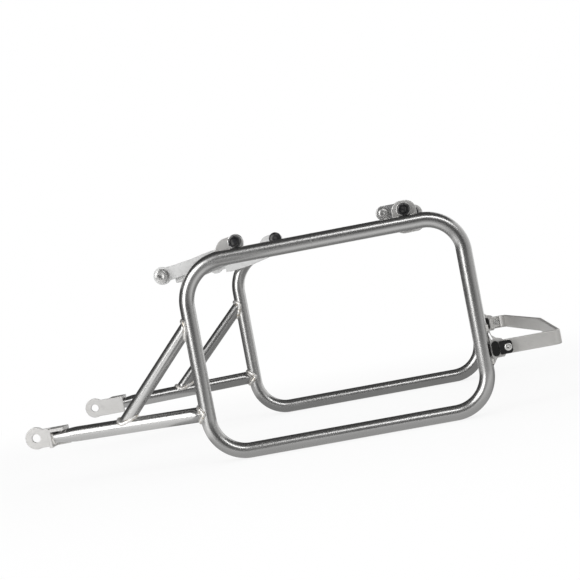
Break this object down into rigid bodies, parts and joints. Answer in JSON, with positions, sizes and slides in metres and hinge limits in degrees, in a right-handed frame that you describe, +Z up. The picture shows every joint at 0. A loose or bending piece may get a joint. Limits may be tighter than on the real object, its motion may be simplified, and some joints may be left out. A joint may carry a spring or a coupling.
{
  "type": "motorbike pannier frame",
  "caption": "Stainless tube pannier rack: a rounded hoop on each side with stays, mounting brackets and a flat bar joining them behind.",
  "frame": {"origin": "centre of the footprint, on the floor under the lower runs", "axes": "+X to the rear of the motorbike, +Y to its right side, +Z up"},
  "size_m": [0.6567, 0.543, 0.2615],
  "materials": {
    "tube": "brushed stainless tube",
    "bracket": "satin stainless sheet",
    "blasted_plate": "bead blasted stainless plate",
    "link": "dull grey steel",
    "weld": "satin weld bead",
    "strap": "brushed stainless bar",
    "rubber": "matte black",
    "pad": "matte black",
    "dark_fastener": "black oxide",
    "bright_fastener": "bright stainless",
    "washer": "satin stainless"
  },
  "bodies": {
    "root": {"left_loop_tube": "tube", "right_loop_tube": "tube", "left_lower_stay": "tube", "right_lower_stay": "tube", "left_diagonal_stay": "tube", "right_diagonal_stay": "tube", "left_foot_bracket": "bracket", "right_foot_bracket": "bracket", "left_front_lug": "bracket", "right_front_lug": "bracket", "left_rear_lug": "bracket", "right_rear_lug": "bracket", "left_front_bracket": "blasted_plate", "right_front_bracket": "blasted_plate", "left_rear_link": "link", "right_rear_link": "link", "left_gusset": "bracket", "right_gusset": "bracket", "left_rubber_stop": "rubber", "right_rubber_stop": "rubber", "left_strap_pad": "pad", "right_strap_pad": "pad", "left_weld_beads": "weld", "right_weld_beads": "weld", "left_lug_bolts": "dark_fastener", "right_lug_bolts": "dark_fastener", "left_lug_nuts": "dark_fastener", "right_lug_nuts": "dark_fastener", "left_lug_washers": "washer", "right_lug_washers": "washer", "left_front_screw": "bright_fastener", "right_front_screw": "bright_fastener", "left_rear_screw": "bright_fastener", "right_rear_screw": "bright_fastener", "left_frame_washers": "washer", "right_frame_washers": "washer", "left_strap_screw": "bright_fastener", "right_strap_screw": "bright_fastener", "left_strap_nut": "bright_fastener", "right_strap_nut": "bright_fastener", "rear_strap": "strap"}
  },
  "joints": []
}
